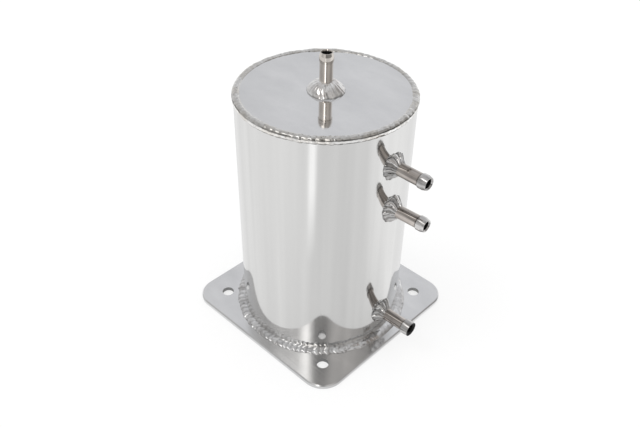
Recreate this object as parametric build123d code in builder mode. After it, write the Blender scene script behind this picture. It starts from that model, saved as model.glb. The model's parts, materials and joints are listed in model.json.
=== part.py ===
"""Fuel swirl pot: a round welded aluminium tank on a square plate, with four hose tails.

Millimetres, +Z up. The origin is the centre of the four bolt holes, on the underside of the plate.
The three side tails point along +X.
"""

import os
from math import cos, radians, sin, tan

from build123d import *

# Tube and lid
tube_diameter = 115.0
tube_wall = 2.0
tank_height = 176.0
lid_thickness = 3.0
lid_step = 1.4

# Plate, with a margin round the tube and its bolt holes set in from its sides
plate_margin = 11.0
plate_thickness = 3.0
plate_corner_radius = 16.0
plate_edge_bevel = 0.8
bolt_inset = 18.5
bolt_hole_diameter = 8.5

# Hose tails: a plain stem that reaches a little way into the tank, and a bead that holds the hose
stem_diameter = 8.5
tail_bore = 6.0
tail_length = 26.5
vent_tail_length = 25.4
tail_inset = 1.0
port_clearance = 0.1
bead_diameter = 9.8
vent_bead_diameter = 9.2
outlet_bead_diameter = 10.6
bead_length = 5.5
bead_land = 3.0
tip_taper = 0.7
outlet_tip_taper = 0.2
lip_width = 0.5
mouth_depth = 0.8

# Where the side tails stand, from the top of the tank down, and their angles about the tank
upper_drop = 29.0
middle_spacing = 33.5
lower_height = 23.5
upper_angle = 0.0
middle_angle = 2.5
lower_angle = 1.0

# Weld bead over the rim of the lid
lid_bead_reach = 4.3
lid_bead_drop = 4.4
lid_bead_bulge = 1.2
lid_bead_shoulder = 0.35

# Weld beads in the corners: at the foot of the tube, round the vent and round the side tails
base_bead_reach = 6.2
base_bead_height = 3.0
base_ripples = 100
vent_bead_reach = 8.5
vent_bead_height = 7.2
side_bead_reach = 6.3
side_bead_height = 6.5
tail_ripples = 24
corner_crown = 0.8
side_crown = -0.4

# Each ripple is ridged along its middle and falls away to its neighbours at this angle
ripple_taper = 14.0

# Worked out from the sizes above
tube_radius = tube_diameter / 2
lid_radius = tube_radius - lid_step
lid_underside = tank_height - lid_thickness
plate_side = tube_diameter + 2 * plate_margin
bolt_spacing = plate_side - 2 * bolt_inset
stem_radius = stem_diameter / 2
port_radius = stem_radius + port_clearance
upper_height = tank_height - upper_drop
middle_height = upper_height - middle_spacing


def side_seat(height, angle):
    """Plane on the outside of the tube, its normal along the tail that stands there."""
    outward = Vector(cos(radians(angle)), sin(radians(angle)), 0)
    return Plane(outward * tube_radius + Vector(0, 0, height), x_dir=(0, 0, 1), z_dir=outward)


foot_seat = Plane.XY.offset(plate_thickness)
vent_seat = Plane.XY.offset(tank_height)
side_seats = {
    "upper": side_seat(upper_height, upper_angle),
    "middle": side_seat(middle_height, middle_angle),
    "lower": side_seat(lower_height, lower_angle),
}


def hose_tail(seat, sheet, bead, length=tail_length, taper=tip_taper):
    """Turned tail on a seat plane: a plain stem, a bead with a square back, and a countersunk bore."""
    section = Plane(seat.origin, x_dir=seat.x_dir, z_dir=-seat.y_dir)
    inner_end = -sheet - tail_inset
    bead_start = length - bead_length
    tip_radius = bead / 2 - taper
    with BuildPart() as tail:
        with BuildSketch(section):
            with BuildLine():
                Polyline(
                    (tail_bore / 2, inner_end),
                    (stem_radius, inner_end),
                    (stem_radius, bead_start),
                    (bead / 2, bead_start),
                    (bead / 2, bead_start + bead_land),
                    (tip_radius, length),
                    (tip_radius - lip_width, length),
                    (tail_bore / 2, length - mouth_depth),
                    close=True,
                )
            make_face()
        revolve(axis=Axis(seat.origin, seat.z_dir))
    return tail.part


def ripple_slice(outline, count, outer, low, high):
    """One ripple of a bead round the Z axis, between the planes that part it from its neighbours."""
    half_width = outer * tan(radians(180 / count))
    with BuildPart() as ripple:
        with BuildSketch(Plane.XZ):
            add(outline)
        extrude(amount=half_width, both=True, taper=ripple_taper)
        with BuildSketch(Plane.XY.offset(low)):
            with BuildLine():
                Polyline((0, 0), (outer, -half_width), (outer, half_width), close=True)
            make_face()
        extrude(amount=high - low, mode=Mode.INTERSECT)
    return ripple.part


def ripple_ring(ripple, count):
    """Ripples laid side by side round the Z axis and joined into one bead."""
    pitch = 360 / count
    with BuildPart() as ring:
        add(ripple)
        with PolarLocations(0, count - 1, start_angle=pitch, angular_range=360 - 2 * pitch, endpoint=True):
            add(ripple)
    return ring.part


def rim_bead():
    """Plain bead that wraps over the edge of the lid and the end of the tube."""
    inside = tube_radius - lid_bead_reach
    bottom = tank_height - lid_bead_drop
    with BuildPart() as bead:
        with BuildSketch(Plane.XZ):
            with BuildLine():
                Polyline(
                    (tube_radius, bottom),
                    (tube_radius + lid_bead_bulge, tank_height - lid_bead_drop * lid_bead_shoulder),
                    (tube_radius - lid_bead_reach * lid_bead_shoulder, tank_height + lid_bead_bulge),
                    (inside, tank_height),
                    (lid_radius, tank_height),
                    (lid_radius, lid_underside),
                    (tube_radius, lid_underside),
                    close=True,
                )
            make_face()
        revolve(axis=Axis.Z)
    return bead.part


def corner_bead(seat, wall_radius, reach, height, count, bulge=corner_crown, depth=0.0):
    """Rippled bead between a round wall and the sheet that it stands on, from a depth below the seat."""
    foot = wall_radius + reach
    crown = Vector(wall_radius + reach / 2, height / 2) + Vector(height, reach).normalized() * bulge
    with BuildSketch() as outline:
        with BuildLine():
            Polyline(
                (wall_radius - reach, -height),
                (foot + reach, -height),
                (foot, 0),
                (crown.X, crown.Y),
                (wall_radius, height),
                (wall_radius - reach, height),
                close=True,
            )
        make_face()
    with BuildPart() as ripple:
        add(ripple_slice(outline.sketch, count, foot + reach, -depth, height))
        Cylinder(wall_radius, 4 * height, mode=Mode.SUBTRACT)
    return ripple_ring(ripple.part, count).moved(seat.location)


def keep(piece, name):
    """Name a finished piece and write it."""
    piece.label = name
    export_step(piece, f"parts/{name}.step")


os.makedirs("parts", exist_ok=True)

# Plate: rounded square with its upper edge bevelled
with BuildPart() as base_plate:
    with BuildSketch():
        RectangleRounded(plate_side, plate_side, plate_corner_radius)
        with GridLocations(bolt_spacing, bolt_spacing, 2, 2):
            Circle(bolt_hole_diameter / 2, mode=Mode.SUBTRACT)
    extrude(amount=plate_thickness)
    top_edge = base_plate.faces().sort_by(Axis.Z)[-1].outer_wire().edges()
    chamfer(top_edge, plate_edge_bevel)
keep(base_plate.part, "base_plate")

# Tube: stands on the plate, with a port for each side tail
with BuildPart() as tank_tube:
    with BuildSketch(foot_seat):
        Circle(tube_radius)
        Circle(tube_radius - tube_wall, mode=Mode.SUBTRACT)
    extrude(amount=lid_underside - plate_thickness)
    for seat in side_seats.values():
        with Locations(seat):
            Hole(port_radius, depth=tube_radius)
keep(tank_tube.part, "tank_tube")

# Lid: lies on the tube's end, set in from its outside to leave a step for the weld
with BuildPart() as lid:
    with BuildSketch(Plane.XY.offset(lid_underside)):
        Circle(lid_radius)
        Circle(port_radius, mode=Mode.SUBTRACT)
    extrude(amount=lid_thickness)
keep(lid.part, "lid")

# Hose tails: a slim vent, two plain inlets and an outlet with a larger bead and a wide mouth
keep(hose_tail(vent_seat, lid_thickness, vent_bead_diameter, vent_tail_length), "vent_tail")
for name in ("upper", "middle"):
    keep(hose_tail(side_seats[name], tube_wall, bead_diameter), f"{name}_tail")
outlet = hose_tail(side_seats["lower"], tube_wall, outlet_bead_diameter, taper=outlet_tip_taper)
keep(outlet, "lower_tail")

# Weld beads, those of the side tails hollow and fitted to the round of the tube
keep(rim_bead(), "lid_weld")
keep(corner_bead(foot_seat, tube_radius, base_bead_reach, base_bead_height, base_ripples), "base_weld")
keep(corner_bead(vent_seat, stem_radius, vent_bead_reach, vent_bead_height, tail_ripples), "vent_weld")
for name, seat in side_seats.items():
    with BuildPart() as weld:
        fan = (stem_radius, side_bead_reach, side_bead_height, tail_ripples)
        add(corner_bead(seat, *fan, side_crown, depth=side_bead_reach))
        with BuildSketch():
            Circle(tube_radius)
        extrude(amount=tank_height, mode=Mode.SUBTRACT)
    keep(weld.part, f"{name}_weld")
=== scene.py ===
"""Looks of the fuel swirl pot: polished aluminium sheet, turned hose tails and rippled weld beads.

Metres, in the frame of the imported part: +Z up along the tank, +X towards the side tails.
"""

import json
import math

import bmesh
import bpy
from mathutils import Matrix, Vector


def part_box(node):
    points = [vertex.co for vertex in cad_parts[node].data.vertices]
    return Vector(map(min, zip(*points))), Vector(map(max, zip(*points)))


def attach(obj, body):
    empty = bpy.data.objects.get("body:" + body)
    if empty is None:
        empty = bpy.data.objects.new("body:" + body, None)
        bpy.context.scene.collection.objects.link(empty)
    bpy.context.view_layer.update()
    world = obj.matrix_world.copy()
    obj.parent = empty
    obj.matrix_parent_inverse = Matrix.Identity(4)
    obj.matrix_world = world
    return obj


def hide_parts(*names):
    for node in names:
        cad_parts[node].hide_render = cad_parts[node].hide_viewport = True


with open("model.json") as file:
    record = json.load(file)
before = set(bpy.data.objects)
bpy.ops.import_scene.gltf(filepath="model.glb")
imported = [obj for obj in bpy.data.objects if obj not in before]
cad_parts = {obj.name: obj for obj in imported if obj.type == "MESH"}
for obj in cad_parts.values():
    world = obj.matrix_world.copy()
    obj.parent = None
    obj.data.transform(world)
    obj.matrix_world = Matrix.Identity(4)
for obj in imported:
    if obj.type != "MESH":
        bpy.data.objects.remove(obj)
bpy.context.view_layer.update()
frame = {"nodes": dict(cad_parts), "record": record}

MM = 0.001


def grey(level):
    """Colour of one level."""
    return (level, level, level)


def band(start, full, last, end):
    """Stops of a band that fades in from its start and out to its end."""
    return ((start, grey(0.0)), (full, grey(1.0)), (last, grey(1.0)), (end, grey(0.0)))


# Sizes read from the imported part
mounts = {mount["name"]: mount for mount in frame["record"]["mounts"]}
bolts = mounts["base_bolts"]["dims"]
bolt_place = bolts["spacing_x_mm"] * MM / 2
bolt_hole_radius = bolts["hole_r_mm"] * MM
tube_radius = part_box("tank_tube")[1].x
lid_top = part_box("lid")[1].z
plate_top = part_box("base_plate")[1].z

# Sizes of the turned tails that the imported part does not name
stem_radius = 4.25 * MM
bead_length = 5.5 * MM
side_bead_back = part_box("upper_tail")[1].x - bead_length
vent_bead_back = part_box("vent_tail")[1].z - bead_length

# Camera, fitted to the photograph: degrees, metres, and the lens on a 36 mm wide sensor
camera_turn = 43.36
camera_rise = 38.11
camera_roll = 1.22
camera_distance = 497.4 * MM
camera_target = Vector((6.83, -10.12, 88.06)) * MM
camera_lens = 41.145
sensor_width = 36.0

# Light: a soft sky, a weak soft lamp, and a floor lit in part from below
sky_level = 1.05
key_level = 0.3
key_softness = 25.0
key_tilt = (32.0, -12.0, -20.0)
floor_size = 6.0
floor_glow = 0.65

# What the polished metal mirrors: a dim room, by degrees about the tank from the camera's side (left is
# negative) and by height (1 is overhead). A bright window stands on the left, with a skylight above it.
far_wall = (0.70, 0.705, 0.72)
left_wall = (0.48, 0.475, 0.47)
right_wall = (0.36, 0.35, 0.34)
near_wall = (0.52, 0.505, 0.49)
dark_corner = (0.25, 0.245, 0.24)
window_glow = (0.62, 0.61, 0.60)
window = (1.5, 1.48, 1.45)
room_tones = (
    (-180, far_wall),
    (-100, left_wall),
    (-64, left_wall),
    (-32, window_glow),
    (-22, window),
    (-18, window),
    (-13, window_glow),
    (-7, dark_corner),
    (8, dark_corner),
    (18, near_wall),
    (44, near_wall),
    (75, right_wall),
    (100, right_wall),
    (130, far_wall),
    (180, far_wall),
)
window_foot = (2.3, 2.26, 2.2)
window_foot_span = band(-24, -19, -7, -2)
window_foot_rise = band(0.34, 0.39, 0.55, 0.60)
skylight = (2.0, 1.98, 1.95)
skylight_span = band(-85, -75, -30, -22)
skylight_rise = band(0.77, 0.80, 0.90, 0.93)
ceiling = grey(0.60)
ceiling_rise = (0.85, 0.98)
horizon_share = 0.8
horizon_rise = (0.25, 0.38)
horizon_tones = (
    (-180, grey(0.95)),
    (-130, grey(0.65)),
    (-60, grey(0.65)),
    (-25, grey(0.85)),
    (-12, grey(0.25)),
    (100, grey(0.25)),
    (130, grey(0.90)),
    (180, grey(0.95)),
)

# The floor as the metal mirrors it, with a pale strip that starts a little way from the tank
floor_tones = (
    (-180, grey(0.76)),
    (-135, grey(0.85)),
    (-105, grey(0.85)),
    (-18, grey(0.80)),
    (-8, grey(0.745)),
    (6, grey(0.70)),
    (50, grey(0.755)),
    (78, grey(0.95)),
    (135, grey(0.86)),
    (180, grey(0.76)),
)
strip_tone = grey(1.12)
strip_span = band(-19, -15, -11, -7)
strip_start = (0.15, 0.25)


# Node helpers


def add_node(tree, kind, **settings):
    """New node with its sockets and properties set by name; spaces in a socket's name are written as _."""
    node = tree.nodes.new(kind)
    for name, value in settings.items():
        socket = node.inputs.get(name.replace("_", " "))
        if socket is not None:
            socket.default_value = value
        else:
            setattr(node, name, value)
    return node


def feed(tree, socket, value):
    """Gives a socket its value: a number, a colour, or another socket that is linked to it."""
    if isinstance(value, bpy.types.NodeSocket):
        tree.links.new(value, socket)
    elif isinstance(value, tuple):
        socket.default_value = (*value, 1.0)
    else:
        socket.default_value = value


def math_node(tree, operation, *values):
    """Result of a Math node; each value is a number or the socket that gives it."""
    node = add_node(tree, "ShaderNodeMath", operation=operation)
    for socket, value in zip(node.inputs, values):
        feed(tree, socket, value)
    return node.outputs[0]


def map_range(tree, value, start, end, low=0.0, high=1.0):
    """Brings the range of a value from start to end to low and high."""
    node = add_node(tree, "ShaderNodeMapRange", From_Min=start, From_Max=end, To_Min=low, To_Max=high)
    tree.links.new(value, node.inputs["Value"])
    return node.outputs["Result"]


def ramp(tree, factor, stops):
    """Colour ramp through (position, colour) stops."""
    node = tree.nodes.new("ShaderNodeValToRGB")
    elements = node.color_ramp.elements
    elements.remove(elements[-1])
    for index, (position, colour) in enumerate(stops):
        element = elements.new(position) if index else elements[0]
        element.position = position
        element.color = (*colour, 1.0)
    tree.links.new(factor, node.inputs["Fac"])
    return node.outputs["Color"]


def mix(tree, share, under, over, blend_type="MIX"):
    """A colour laid over another by a share; the colour sockets of the node are its seventh and eighth."""
    node = add_node(tree, "ShaderNodeMix", data_type="RGBA", blend_type=blend_type)
    for index, value in ((0, share), (6, under), (7, over)):
        feed(tree, node.inputs[index], value)
    return node.outputs[2]


def times(tree, first, second, share=1.0):
    """Product of two colours, the second by a share."""
    return mix(tree, share, first, second, "MULTIPLY")


def about_tank(tree, place):
    """Turn about the tank from the camera's side, half a turn either way as 0 and 1, and the height."""
    turn = math.radians(camera_turn)
    axes = add_node(tree, "ShaderNodeSeparateXYZ")
    tree.links.new(place, axes.inputs["Vector"])
    east, north, height = axes.outputs
    north_ahead = math_node(tree, "MULTIPLY", north, -math.cos(turn))
    north_aside = math_node(tree, "MULTIPLY", north, math.sin(turn))
    ahead = math_node(tree, "MULTIPLY_ADD", east, math.sin(turn), north_ahead)
    aside = math_node(tree, "MULTIPLY_ADD", east, math.cos(turn), north_aside)
    angle = math_node(tree, "ARCTAN2", aside, ahead)
    return math_node(tree, "MULTIPLY_ADD", angle, 0.5 / math.pi, 0.5), height


def tones_by_turn(tree, turn, stops):
    """Ramp through tones that stand at degrees about the tank."""
    return ramp(tree, turn, [(degrees / 360 + 0.5, tone) for degrees, tone in stops])


# Metal finishes


def metal(name):
    """New metal on Object coordinates: its tree, its shader and the coordinates."""
    material = bpy.data.materials.new(name)
    material.use_nodes = True
    tree = material.node_tree
    shader = tree.nodes["Principled BSDF"]
    shader.inputs["Metallic"].default_value = 1.0
    place = add_node(tree, "ShaderNodeTexCoord").outputs["Object"]
    return material, tree, shader, place


def drawn(axis, along, across):
    """Scales of a grain, per metre, along one axis and across it."""
    return tuple(along if name == axis else across for name in "XYZ")


def even(scale):
    """Scales of a grain that is the same all ways."""
    return (scale, scale, scale)


def grain(tree, place, scales, detail=3.0, turn=(0.0, 0.0, 0.0)):
    """Noise with its own scale along each axis."""
    mapping = add_node(tree, "ShaderNodeMapping", Scale=scales, Rotation=turn)
    tree.links.new(place, mapping.inputs["Vector"])
    noise = add_node(tree, "ShaderNodeTexNoise", Scale=1.0, Detail=detail, Roughness=0.55)
    tree.links.new(mapping.outputs["Vector"], noise.inputs["Vector"])
    return noise.outputs["Fac"]


def spread(tree, noise, low, high):
    """Brings a noise's middle range to two numbers."""
    return map_range(tree, noise, 0.3, 0.7, low, high)


def tinted(tree, noise, low, high):
    """Brings a noise's middle range to two colours."""
    return ramp(tree, noise, ((0.3, low), (0.7, high)))


def dress(tree, shader, colour, roughness):
    """Colour and roughness of a metal."""
    tree.links.new(colour, shader.inputs["Base Color"])
    tree.links.new(roughness, shader.inputs["Roughness"])


def bump(tree, shader, height, strength, depth):
    """Fine relief on the shader's normal."""
    node = add_node(tree, "ShaderNodeBump", Strength=strength, Distance=depth)
    tree.links.new(height, node.inputs["Height"])
    tree.links.new(node.outputs["Normal"], shader.inputs["Normal"])


def polished_tube():
    """Rolled sheet polished along the tube, with long soft lighter and darker streaks painted in for its
    uneven reflections.
    """
    material, tree, shader, place = metal("polished_tube")
    painted_streaks = grain(tree, place, drawn("Z", 2.5, 90.0), 2.0)
    lines = grain(tree, place, drawn("Z", 25.0, 1800.0))
    # Painted reflection: lighter and darker streaks along the tube.
    colour = tinted(tree, painted_streaks, (0.75, 0.748, 0.742), (0.84, 0.838, 0.83))
    dress(tree, shader, colour, spread(tree, lines, 0.05, 0.13))
    bump(tree, shader, lines, 0.05, 0.05 * MM)
    return material


def brushed_sheet(name, direction, low, high):
    """Flat sheet brushed one way and polished to a roughness between low and high, with faint smears."""
    material, tree, shader, place = metal(name)
    turn = (0.0, 0.0, math.radians(direction))
    lines = grain(tree, place, drawn("X", 18.0, 1400.0), 3.0, turn)
    smears = grain(tree, place, drawn("Y", 55.0, 30.0), 3.0, turn)
    colour = tinted(tree, smears, (0.75, 0.752, 0.76), (0.85, 0.85, 0.855))
    dress(tree, shader, colour, spread(tree, lines, low, high))
    bump(tree, shader, lines, 0.06, 0.05 * MM)
    return material


def turned_metal(name, axis, bead_back, low, high, painted_streak_tones, step_shade_tone, bead_painted_shading):
    """Turned tail along an axis: marks round it, lighter and darker streaks along it painted in as
    reflections, a painted dark stripe of shade where its bead starts, and a painted tone on the bead that
    brightens or dims it.
    """
    material, tree, shader, place = metal(name)
    marks = grain(tree, place, drawn(axis, 2200.0, 90.0))
    tone = tinted(tree, grain(tree, place, even(150.0)), low, high)
    # Painted reflections: lighter and darker streaks along the tail.
    dark_painted_streak, pale_painted_streak = painted_streak_tones
    painted_streaks = grain(tree, place, drawn(axis, 12.0, 420.0), 2.0)
    painted_streak_stops = ((0.38, grey(dark_painted_streak)), (0.62, grey(pale_painted_streak)))
    with_painted_streaks = times(tree, tone, ramp(tree, painted_streaks, painted_streak_stops))
    axes = add_node(tree, "ShaderNodeSeparateXYZ")
    tree.links.new(place, axes.inputs["Vector"])
    reach = map_range(tree, axes.outputs[axis], bead_back - 2 * MM, bead_back + 2 * MM)
    # Painted shade and light along the axis: a dark stripe of shade at the step behind the bead, then the
    # bead brightened or dimmed by a painted tone.
    step_shade_stops = ((0.2, grey(1.0)), (0.34, grey(step_shade_tone)), (0.49, grey(step_shade_tone)), (0.51, bead_painted_shading))
    colour = times(tree, with_painted_streaks, ramp(tree, reach, step_shade_stops))
    dress(tree, shader, colour, spread(tree, marks, 0.04, 0.07))
    bump(tree, shader, marks, 0.01, 0.05 * MM)
    return material


def shaded_hole_metal():
    """Walls of the bolt holes: rough as drilled, and painted dark for the shade in the holes."""
    material, tree, shader, place = metal("shaded_hole_metal")
    rings = grain(tree, place, drawn("Z", 2500.0, 60.0))
    dress(tree, shader, tinted(tree, rings, grey(0.22), grey(0.36)), spread(tree, rings, 0.35, 0.5))
    return material


def painted_bore_shade():
    """Inside of a tail: unpolished, and painted near black for the shade in it, with a faint mottle."""
    material, tree, shader, place = metal("painted_bore_shade")
    mottle = grain(tree, place, even(400.0))
    dress(tree, shader, tinted(tree, mottle, grey(0.012), grey(0.05)), spread(tree, mottle, 0.5, 0.7))
    return material


# Painted tones of a weld from one toe to the other: in a corner, painted shade at the toes; over the rim, a
# painted highlight on the lip between dark stripes of painted shade
corner_toe_shade = ((0.0, grey(0.3)), (0.09, grey(1.0)), (0.95, grey(1.0)), (1.0, grey(0.8)))
rim_painted_lip_and_shade = (
    (0.0, grey(0.25)),
    (0.16, grey(0.3)),
    (0.21, grey(1.5)),
    (0.34, grey(1.55)),
    (0.38, grey(0.25)),
    (0.43, grey(0.25)),
    (0.47, grey(1.0)),
    (0.9, grey(0.95)),
    (1.0, grey(0.7)),
)
oxide = (0.14, 0.13, 0.12)


def weld_metal(name, low, high, mottle, toe_painted_tones, groove_painted_shade):
    """Weld between two tones, with oxide specks and stains, grooves darkened by painted shade, and painted
    light and shade at the toes.
    """
    material, tree, shader, place = metal(name)
    specks = grain(tree, place, even(600.0))
    tone = grain(tree, place, even(260.0), 2.0)
    stains = grain(tree, place, even(100.0), 2.0)
    patches = spread(tree, grain(tree, place, even(110.0), 1.0), 0.3, 1.2)
    toe = add_node(tree, "ShaderNodeAttribute", attribute_name="toe").outputs["Fac"]
    groove = add_node(tree, "ShaderNodeAttribute", attribute_name="groove").outputs["Fac"]
    wavy_toe = math_node(tree, "MULTIPLY_ADD", tone, 0.1, math_node(tree, "SUBTRACT", toe, 0.05))
    colour = ramp(tree, specks, ((0.27, oxide), (0.34, low), (0.65, high)))
    colour = times(tree, colour, ramp(tree, stains, ((0.40, mottle), (0.56, grey(1.0)))))
    # Painted light and shade at the toes, by the toe tones given.
    colour = times(tree, colour, ramp(tree, wavy_toe, toe_painted_tones), patches)
    # Painted shade in the grooves between the ripples, partly standing for oxide there.
    colour = times(tree, colour, ramp(tree, groove, ((0.45, grey(1.0)), (1.0, grey(groove_painted_shade)))))
    dress(tree, shader, colour, spread(tree, tone, 0.05, 0.16))
    bump(tree, shader, specks, 0.03, 0.1 * MM)
    return material


# Sheet and tails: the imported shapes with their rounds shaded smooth. Angles in degrees
join_distance = 0.001 * MM
flat_limit = 0.5
machined_crease = 30.0
weld_crease = 55.0


def finished_piece(name, mesh, node):
    """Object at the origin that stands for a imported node."""
    piece = bpy.data.objects.new(name, mesh)
    bpy.context.scene.collection.objects.link(piece)
    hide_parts(node)
    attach(piece, "root")
    return piece


def joined_copy(node, flatten=True):
    """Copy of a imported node's mesh with its loose triangles joined, and its flats made whole."""
    mesh = frame["nodes"][node].data.copy()
    mesh.materials.clear()
    work = bmesh.new()
    work.from_mesh(mesh)
    bmesh.ops.remove_doubles(work, verts=work.verts, dist=join_distance)
    if flatten:
        limit = math.radians(flat_limit)
        bmesh.ops.dissolve_limit(work, angle_limit=limit, verts=work.verts, edges=work.edges)
        bmesh.ops.triangulate(work, faces=[face for face in work.faces if len(face.verts) > 4])
    work.to_mesh(mesh)
    work.free()
    mesh.attributes.remove(mesh.attributes["custom_normal"])
    return mesh


def smooth_round(mesh, crease):
    """Smooth shading that stops at edges sharper than the crease, in degrees."""
    mesh.polygons.foreach_set("use_smooth", [True] * len(mesh.polygons))
    mesh.set_sharp_from_angle(angle=math.radians(crease))


def tube_piece(finish):
    """Tube whose walls are shaded as true rounds about the tank's axis."""
    mesh = joined_copy("tank_tube", flatten=False)
    mesh.polygons.foreach_set("use_smooth", [True] * len(mesh.polygons))
    normals = []
    for face in mesh.polygons:
        for index in face.vertices:
            outward = mesh.vertices[index].co.copy()
            outward.z = 0.0
            outward.normalize()
            facing = face.normal.dot(outward)
            on_wall = abs(facing) > 0.97
            normals.append(outward * math.copysign(1.0, facing) if on_wall else face.normal.copy())
    mesh.normals_split_custom_set(normals)
    mesh.materials.append(finish)
    return finished_piece("polished_tube", mesh, "tank_tube")


def sheet_piece(name, node, finish, shaded_hole_finish=None):
    """Flat sheet, with the walls of its bolt holes in their own finish, painted dark for their shade."""
    mesh = joined_copy(node)
    mesh.materials.append(finish)
    if shaded_hole_finish is not None:
        mesh.materials.append(shaded_hole_finish)
        for face in mesh.polygons:
            from_bolt = Vector((abs(face.center.x) - bolt_place, abs(face.center.y) - bolt_place))
            upright = abs(face.normal.z) < 0.3
            face.material_index = int(upright and from_bolt.length < 1.5 * bolt_hole_radius)
    smooth_round(mesh, machined_crease)
    return finished_piece(name, mesh, node)


def tail_piece(name, node, mount, metal_finish, bore_shade_finish, shaded_end):
    """Turned tail with its bore painted dark as shade, and its end too where the mouth is wide."""
    mesh = joined_copy(node)
    mesh.materials.append(metal_finish)
    mesh.materials.append(bore_shade_finish)
    axis = Vector(mount["axis"])
    middle = Vector(mount["pos_m"])
    for face in mesh.polygons:
        reach = face.center - middle
        outward = (reach - axis * reach.dot(axis)).normalized()
        # Faces inside the bore, and the end where the mouth is wide, take the painted shade.
        in_bore = face.normal.dot(outward) < (-0.3 if shaded_end else -0.9)
        at_end = shaded_end and face.normal.dot(axis) > 0.9 and reach.dot(axis) > 0
        face.material_index = int(in_bore or at_end)
    smooth_round(mesh, machined_crease)
    return finished_piece(name, mesh, node)


# Weld beads: how finely they are drawn, and how their ripples vary along the seam
points_in_ripple = 12
points_in_section = 14
ripple_heights = (0.25, 1.0)
ripple_wander = 4.0
deep_groove = 0.12
stretch_scale = 2.2
stretch_range = (0.42, 0.64)
rippled_side_pull = 0.2
slack_start = 0.25

# The rim bead is round, with its seam in from the tube's outside and below the lid's top. The foot bead lies
# lower than the corner that it fills.
rim_bead_radius = 3.0 * MM
rim_inset = 1.9 * MM
rim_drop = 1.8 * MM
foot_flatness = 0.8

bead_inputs = {
    "Seam radius": "Float",
    "Reach": "Float",
    "Height": "Float",
    "First angle": "Float",
    "Sweep": "Float",
    "Hollow": "Float",
    "Ripples": "Int",
    "Ripple depth": "Float",
    "Ripple bow": "Float",
    "Smooth stretches": "Float",
    "Rippled side": "Float",
    "Unevenness": "Float",
    "Lumps": "Float",
    "Sheet radius": "Float",
    "Seed": "Int",
    "Weld metal": "Material",
}

# A bead in the corner between a round wall and a flat sheet
corner_bead = {
    "First angle": 0.0,
    "Sweep": math.radians(90.0),
    "Ripple bow": 1.6,
    "Smooth stretches": 0.0,
    "Rippled side": 0.0,
    "Lumps": 2.0,
    "Sheet radius": 1000.0,
}


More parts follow.
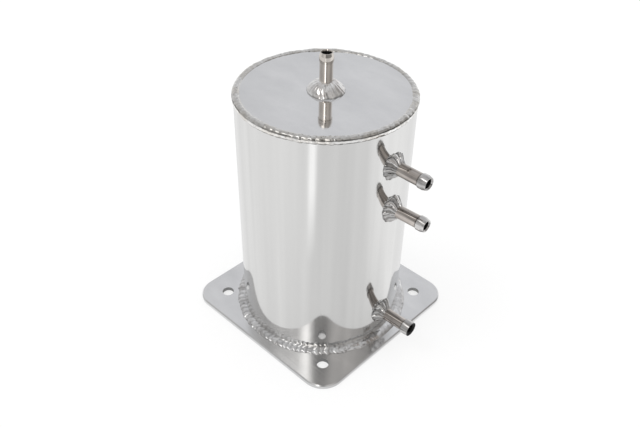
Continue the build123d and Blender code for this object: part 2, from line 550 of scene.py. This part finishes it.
def weld_tree():
    """Geometry nodes for a rippled bead round a seam, in the seam's own frame with +Z out of the sheet."""
    tree = bpy.data.node_groups.new("weld_bead", "GeometryNodeTree")
    tree.interface.new_socket("Bead", in_out="OUTPUT", socket_type="NodeSocketGeometry")
    for name, kind in bead_inputs.items():
        tree.interface.new_socket(name, in_out="INPUT", socket_type=f"NodeSocket{kind}")
    given = tree.nodes.new("NodeGroupInput").outputs
    link = tree.links.new

    def calc(operation, *values):
        return math_node(tree, operation, *values)

    # The seam, a ring with several points in each ripple
    seam = add_node(tree, "GeometryNodeCurvePrimitiveCircle", mode="RADIUS")
    link(calc("MULTIPLY", given["Ripples"], points_in_ripple), seam.inputs["Resolution"])
    link(given["Seam radius"], seam.inputs["Radius"])
    seam_point = add_node(tree, "GeometryNodeCaptureAttribute", domain="POINT")
    seam_point.capture_items.new("FLOAT", "along")
    link(seam.outputs["Curve"], seam_point.inputs["Geometry"])
    link(tree.nodes.new("GeometryNodeSplineParameter").outputs["Factor"], seam_point.inputs["along"])
    along = seam_point.outputs["along"]

    # The section, a slice of a disc with its point in the seam
    section = add_node(tree, "GeometryNodeCurveArc", mode="RADIUS", Radius=1.0, Connect_Center=True)
    section.inputs["Resolution"].default_value = points_in_section
    link(given["First angle"], section.inputs["Start Angle"])
    link(given["Sweep"], section.inputs["Sweep Angle"])
    section_point = add_node(tree, "GeometryNodeCaptureAttribute", domain="POINT")
    section_point.capture_items.new("VECTOR", "across")
    link(section.outputs["Curve"], section_point.inputs["Geometry"])
    link(tree.nodes.new("GeometryNodeInputPosition").outputs["Position"], section_point.inputs["across"])
    across = add_node(tree, "ShaderNodeSeparateXYZ")
    link(section_point.outputs["across"], across.inputs["Vector"])

    bead = tree.nodes.new("GeometryNodeCurveToMesh")
    link(seam_point.outputs["Geometry"], bead.inputs["Curve"])
    link(section_point.outputs["Geometry"], bead.inputs["Profile Curve"])

    # Slow unevenness along the seam
    turn = calc("MULTIPLY", along, 2 * math.pi)
    round_place = add_node(tree, "ShaderNodeCombineXYZ")
    link(calc("COSINE", turn), round_place.inputs["X"])
    link(calc("SINE", turn), round_place.inputs["Y"])
    link(given["Seed"], round_place.inputs["Z"])
    drift = add_node(tree, "ShaderNodeTexNoise", Detail=1.0)
    link(round_place.outputs["Vector"], drift.inputs["Vector"])
    link(given["Lumps"], drift.inputs["Scale"])
    uneven = drift.outputs["Fac"]
    wander = calc("MULTIPLY", calc("SUBTRACT", uneven, 0.5), given["Unevenness"])

    # Ripples: bowed across the bead, each with a height of its own
    angle = calc("ARCTAN2", across.outputs["Y"], across.outputs["X"])
    share = calc("DIVIDE", calc("SUBTRACT", angle, given["First angle"]), given["Sweep"])
    bow = calc("MULTIPLY", calc("MULTIPLY", share, calc("SUBTRACT", 1.0, share)), given["Ripple bow"])
    count = calc("MULTIPLY", along, given["Ripples"])
    phase = calc("ADD", calc("ADD", count, bow), calc("MULTIPLY", wander, ripple_wander))
    inside = calc("SUBTRACT", calc("MULTIPLY", calc("FRACT", phase), 2.0), 1.0)
    dome = calc("SUBTRACT", 1.0, calc("MULTIPLY", inside, inside))
    own = add_node(tree, "FunctionNodeRandomValue", data_type="FLOAT")
    own.inputs[2].default_value, own.inputs[3].default_value = ripple_heights
    link(calc("FLOORED_MODULO", calc("FLOOR", phase), given["Ripples"]), own.inputs["ID"])
    link(given["Seed"], own.inputs["Seed"])
    crest = calc("MULTIPLY", dome, own.outputs[1])

    # Stretches where the ripples fade, away from the side that is rippled most
    stretch = add_node(tree, "ShaderNodeTexNoise", Scale=stretch_scale, Detail=1.0)
    link(round_place.outputs["Vector"], stretch.inputs["Vector"])
    facing = calc("COSINE", calc("SUBTRACT", turn, given["Rippled side"]))
    rippled = calc("MULTIPLY_ADD", facing, rippled_side_pull, stretch.outputs["Fac"])
    faded = calc("MULTIPLY", map_range(tree, rippled, *stretch_range, 1.0, 0.0), given["Smooth stretches"])
    depth = calc("MULTIPLY", calc("SUBTRACT", 1.0, faded), given["Ripple depth"])
    dip = calc("MULTIPLY", calc("SUBTRACT", 1.0, crest), depth)

    # Where each point goes: out from the seam by the section, less the hollow, the unevenness and the dip
    hollow = calc("MULTIPLY", calc("SINE", calc("MULTIPLY", share, math.pi)), given["Hollow"])
    over_start = calc("SUBTRACT", uneven, slack_start)
    slack = calc("MAXIMUM", calc("MULTIPLY", over_start, given["Unevenness"]), 0.0)
    size = calc("SUBTRACT", calc("SUBTRACT", calc("SUBTRACT", 1.0, hollow), slack), dip)
    out = calc("MULTIPLY", calc("MULTIPLY", across.outputs["X"], given["Reach"]), size)
    up = calc("MULTIPLY", calc("MULTIPLY", across.outputs["Y"], given["Height"]), size)
    radius = calc("ADD", given["Seam radius"], out)
    sideways = calc("MULTIPLY", radius, calc("SINE", turn))

    # On a round sheet the low side of the bead falls away with the sheet
    chord = calc("MINIMUM", calc("DIVIDE", sideways, given["Sheet radius"]), 1.0)
    fall = calc("SUBTRACT", 1.0, calc("SQRT", calc("SUBTRACT", 1.0, calc("MULTIPLY", chord, chord))))
    low_share = calc("SUBTRACT", 1.0, calc("DIVIDE", up, given["Height"]))
    drop = calc("MULTIPLY", calc("MULTIPLY", fall, given["Sheet radius"]), low_share)
    place = tree.nodes.new("ShaderNodeCombineXYZ")
    link(calc("MULTIPLY", radius, calc("COSINE", turn)), place.inputs["X"])
    link(sideways, place.inputs["Y"])
    link(calc("SUBTRACT", up, drop), place.inputs["Z"])
    moved = tree.nodes.new("GeometryNodeSetPosition")
    link(bead.outputs["Mesh"], moved.inputs["Geometry"])
    link(place.outputs["Vector"], moved.inputs["Position"])

    # What the weld metal reads: the share of the way between the toes, and how deep a groove is
    result = moved.outputs["Geometry"]
    for name, value in (("toe", share), ("groove", calc("DIVIDE", dip, deep_groove))):
        store = add_node(tree, "GeometryNodeStoreNamedAttribute", data_type="FLOAT", domain="POINT")
        store.inputs["Name"].default_value = name
        link(result, store.inputs["Geometry"])
        link(value, store.inputs["Value"])
        result = store.outputs["Geometry"]
    for kind in ("GeometryNodeSetShadeSmooth", "GeometryNodeRealizeInstances", "GeometryNodeSetMaterial"):
        step = tree.nodes.new(kind)
        link(result, step.inputs["Geometry"])
        result = step.outputs["Geometry"]
    link(given["Weld metal"], step.inputs["Material"])
    link(result, tree.nodes.new("NodeGroupOutput").inputs["Bead"])
    return tree


def weld_piece(name, node, tree, place, sizes):
    """Bead made by the tree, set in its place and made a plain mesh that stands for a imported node."""
    source = bpy.data.objects.new(name + "_source", bpy.data.meshes.new(name + "_source"))
    bpy.context.scene.collection.objects.link(source)
    modifier = source.modifiers.new("bead", "NODES")
    modifier.node_group = tree
    keys = {item.name: item.identifier for item in tree.interface.items_tree if item.in_out == "INPUT"}
    for label, value in sizes.items():
        modifier[keys[label]] = value
    evaluated = source.evaluated_get(bpy.context.evaluated_depsgraph_get())
    mesh = bpy.data.meshes.new_from_object(evaluated)
    mesh.name = name
    bpy.data.objects.remove(source)
    mesh.transform(place)
    work = bmesh.new()
    work.from_mesh(mesh)
    bmesh.ops.recalc_face_normals(work, faces=work.faces)
    work.to_mesh(mesh)
    work.free()
    smooth_round(mesh, weld_crease)
    return finished_piece(name, mesh, node)


def rim_weld(tree, finish):
    """Bead that wraps over the edge of the lid, rippled most towards the side tails."""
    sizes = corner_bead | {
        "Seam radius": tube_radius - rim_inset,
        "Reach": rim_bead_radius,
        "Height": rim_bead_radius,
        "First angle": math.radians(-58.0),
        "Sweep": math.radians(206.0),
        "Hollow": 0.0,
        "Ripples": 80,
        "Ripple depth": 0.12,
        "Smooth stretches": 0.95,
        "Rippled side": math.radians(18.0),
        "Unevenness": 0.3,
        "Lumps": 9.0,
        "Seed": 3,
        "Weld metal": finish,
    }
    weld_piece("rim_bead", "lid_weld", tree, Matrix.Translation((0, 0, lid_top - rim_drop)), sizes)


def foot_weld(tree, finish):
    """Low bead at the foot of the tube, rippled most on the left of the camera."""
    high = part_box("base_weld")[1]
    sizes = corner_bead | {
        "Seam radius": tube_radius,
        "Reach": high.x - tube_radius,
        "Height": foot_flatness * (high.z - plate_top),
        "Hollow": 0.12,
        "Ripples": 100,
        "Ripple depth": 0.13,
        "Smooth stretches": 0.9,
        "Rippled side": math.radians(-122.0),
        "Unevenness": 0.3,
        "Lumps": 8.0,
        "Seed": 11,
        "Weld metal": finish,
    }
    weld_piece("foot_bead", "base_weld", tree, Matrix.Translation((0, 0, plate_top)), sizes)


def vent_weld(tree, finish):
    """Fluted cone of weld round the vent tail."""
    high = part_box("vent_weld")[1]
    sizes = corner_bead | {
        "Seam radius": stem_radius,
        "Reach": high.x - stem_radius,
        "Height": high.z - lid_top,
        "Hollow": 0.15,
        "Ripples": 18,
        "Ripple depth": 0.05,
        "Unevenness": 0.1,
        "Seed": 5,
        "Weld metal": finish,
    }
    weld_piece("vent_bead", "vent_weld", tree, Matrix.Translation((0, 0, lid_top)), sizes)


def side_weld(tree, side, finish, seed):
    """Fluted weld round a side tail, fitted to the round of the tube."""
    mount = mounts[side + "_hose"]
    axis = Vector(mount["axis"])
    low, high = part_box(side + "_weld")
    foot_radius = (high.z - low.z) / 2
    sizes = corner_bead | {
        "Seam radius": stem_radius,
        "Reach": foot_radius - stem_radius,
        "Height": high.x / axis.x - tube_radius,
        "Hollow": 0.26,
        "Ripples": 14,
        "Ripple depth": 0.17,
        "Unevenness": 0.4,
        "Sheet radius": tube_radius,
        "Seed": seed,
        "Weld metal": finish,
    }
    seat = Vector((axis.x * tube_radius, axis.y * tube_radius, mount["pos_m"][2]))
    upright = Vector((0, 0, 1))
    turn = Matrix((upright, axis.cross(upright), axis)).transposed().to_4x4()
    weld_piece(side + "_bead", side + "_weld", tree, Matrix.Translation(seat) @ turn, sizes)


# Stage


def white_floor():
    """Floor that is white to the camera, and has its own tones where the metal mirrors it."""
    half = floor_size / 2
    corners = [(-half, -half, 0), (half, -half, 0), (half, half, 0), (-half, half, 0)]
    mesh = bpy.data.meshes.new("floor")
    mesh.from_pydata(corners, [], [(0, 1, 2, 3)])
    floor = bpy.data.objects.new("floor", mesh)
    bpy.context.scene.collection.objects.link(floor)

    white = bpy.data.materials.new("white_floor")
    white.use_nodes = True
    tree = white.node_tree
    shader = tree.nodes["Principled BSDF"]
    shader.inputs["Roughness"].default_value = 0.9
    shader.inputs["Specular IOR Level"].default_value = 0.0
    shader.inputs["Emission Strength"].default_value = floor_glow
    place = add_node(tree, "ShaderNodeTexCoord").outputs["Object"]
    turn = about_tank(tree, place)[0]
    away = add_node(tree, "ShaderNodeVectorMath", operation="LENGTH")
    tree.links.new(place, away.inputs[0])
    started = map_range(tree, away.outputs["Value"], *strip_start)
    on_strip = math_node(tree, "MULTIPLY", tones_by_turn(tree, turn, strip_span), started)
    mirrored = mix(tree, on_strip, tones_by_turn(tree, turn, floor_tones), strip_tone)
    to_camera = tree.nodes.new("ShaderNodeLightPath").outputs["Is Camera Ray"]
    tone = mix(tree, to_camera, mirrored, grey(1.0))
    tree.links.new(times(tree, tone, grey(1.0 - floor_glow)), shader.inputs["Base Color"])
    tree.links.new(tone, shader.inputs["Emission Color"])
    mesh.materials.append(white)


def soft_lamp():
    """Weak soft lamp from above, which the metal does not mirror."""
    lamp = bpy.data.lights.new("key", "SUN")
    lamp.energy = key_level
    lamp.angle = math.radians(key_softness)
    key = bpy.data.objects.new("key", lamp)
    key.visible_glossy = False
    key.rotation_euler = [math.radians(angle) for angle in key_tilt]
    bpy.context.scene.collection.objects.link(key)


def studio_room():
    """Soft light from all sides, white to the camera, and the dim room that the polished metal mirrors."""
    world = bpy.data.worlds.new("studio")
    bpy.context.scene.world = world
    world.use_nodes = True
    tree = world.node_tree
    tree.nodes.clear()
    turn, height = about_tank(tree, add_node(tree, "ShaderNodeTexCoord").outputs["Generated"])

    def patch(under, span, rise, tone):
        share = math_node(tree, "MULTIPLY", tones_by_turn(tree, turn, span), ramp(tree, height, rise))
        return mix(tree, share, under, tone)

    def either(share, first, second):
        node = tree.nodes.new("ShaderNodeMixShader")
        for socket, value in zip(node.inputs, (share, first, second)):
            tree.links.new(value, socket)
        return node.outputs[0]

    def glow(colour, strength):
        node = add_node(tree, "ShaderNodeBackground", Strength=strength)
        feed(tree, node.inputs["Color"], colour)
        return node.outputs[0]

    room = patch(tones_by_turn(tree, turn, room_tones), window_foot_span, window_foot_rise, window_foot)
    near_floor = map_range(tree, height, *horizon_rise, horizon_share, 0.0)
    room = mix(tree, near_floor, room, tones_by_turn(tree, turn, horizon_tones))
    room = mix(tree, map_range(tree, height, *ceiling_rise), room, ceiling)
    room = patch(room, skylight_span, skylight_rise, skylight)

    rays = tree.nodes.new("ShaderNodeLightPath").outputs
    in_metal = math_node(tree, "MAXIMUM", rays["Is Glossy Ray"], rays["Is Transmission Ray"])
    lit = either(in_metal, glow(grey(1.0), sky_level), glow(room, 1.0))
    shown = either(rays["Is Camera Ray"], lit, glow(grey(1.0), 1.0))
    tree.links.new(shown, tree.nodes.new("ShaderNodeOutputWorld").inputs["Surface"])


def camera():
    """Camera where the photograph was taken from."""
    turn, rise, roll = (math.radians(angle) for angle in (camera_turn, camera_rise, camera_roll))
    back = Vector((math.sin(turn) * math.cos(rise), -math.cos(turn) * math.cos(rise), math.sin(rise)))
    level = Vector((math.cos(turn), math.sin(turn), 0.0))
    upright = back.cross(level)
    across = level * math.cos(roll) + upright * math.sin(roll)
    up = upright * math.cos(roll) - level * math.sin(roll)
    data = bpy.data.cameras.new("camera")
    data.sensor_width = sensor_width
    data.lens = camera_lens
    data.clip_start = 10 * MM
    seat = bpy.data.objects.new("camera", data)
    facing = Matrix((across, up, back)).transposed().to_4x4()
    seat.matrix_world = Matrix.Translation(camera_target + back * camera_distance) @ facing
    bpy.context.scene.collection.objects.link(seat)
    bpy.context.scene.camera = seat


# The pot
tube_piece(polished_tube())
sheet_piece("polished_lid", "lid", brushed_sheet("brushed_lid", 35.0, 0.04, 0.10))
plate_finish = brushed_sheet("brushed_plate", -20.0, 0.11, 0.19)
sheet_piece("mounting_plate", "base_plate", plate_finish, shaded_hole_metal())

# The upright tail: a faint stripe of painted shade behind its bead, and the bead a little darkened as
# painted shade.
vent_metal = turned_metal(
    "turned_upright",
    axis="Z",
    bead_back=vent_bead_back,
    low=(0.77, 0.715, 0.66),
    high=(0.86, 0.81, 0.76),
    painted_streak_tones=(0.96, 1.03),
    step_shade_tone=0.82,
    bead_painted_shading=grey(0.82),
)
# The level tails take a much darker copy of the turned metal as painted shade, with a dark stripe of painted
# shade at the bead's step and their beads brought back lighter and cooler as painted light.
shaded_side_metal = turned_metal(
    "turned_level_shaded",
    axis="X",
    bead_back=side_bead_back,
    low=(0.44, 0.40, 0.375),
    high=(0.60, 0.555, 0.52),
    painted_streak_tones=(0.6, 1.2),
    step_shade_tone=0.4,
    bead_painted_shading=(1.18, 1.26, 1.33),
)
bore = painted_bore_shade()
for side in ("vent", "upper", "middle", "lower"):
    turned = vent_metal if side == "vent" else shaded_side_metal
    tail_piece(side + "_hose_tail", side + "_tail", mounts[side + "_hose"], turned, bore, side == "lower")

bead_tree = weld_tree()
# One weld metal in three copies: a lighter one for the vent and side welds as painted light, a darker one
# for the foot as painted shade, and a darker one for the rim that carries its painted lip and stripes.
lit_weld = weld_metal(
    "lit_weld",
    low=(0.78, 0.77, 0.765),
    high=(0.96, 0.955, 0.95),
    mottle=(0.88, 0.86, 0.85),
    toe_painted_tones=corner_toe_shade,
    groove_painted_shade=0.45,
)
shaded_weld = weld_metal(
    "shaded_weld",
    low=(0.69, 0.69, 0.695),
    high=(0.90, 0.90, 0.905),
    mottle=(0.80, 0.79, 0.78),
    toe_painted_tones=corner_toe_shade,
    groove_painted_shade=0.74,
)
rim_painted_weld = weld_metal(
    "rim_painted_weld",
    low=(0.63, 0.622, 0.608),
    high=(0.82, 0.812, 0.80),
    mottle=(0.88, 0.86, 0.83),
    toe_painted_tones=rim_painted_lip_and_shade,
    groove_painted_shade=0.85,
)
rim_weld(bead_tree, rim_painted_weld)
foot_weld(bead_tree, shaded_weld)
vent_weld(bead_tree, lit_weld)
for seed, side in enumerate(("upper", "middle", "lower"), start=21):
    side_weld(bead_tree, side, lit_weld, seed)

# The stage
white_floor()
soft_lamp()
studio_room()
camera()
bpy.context.scene.view_settings.view_transform = "Standard"
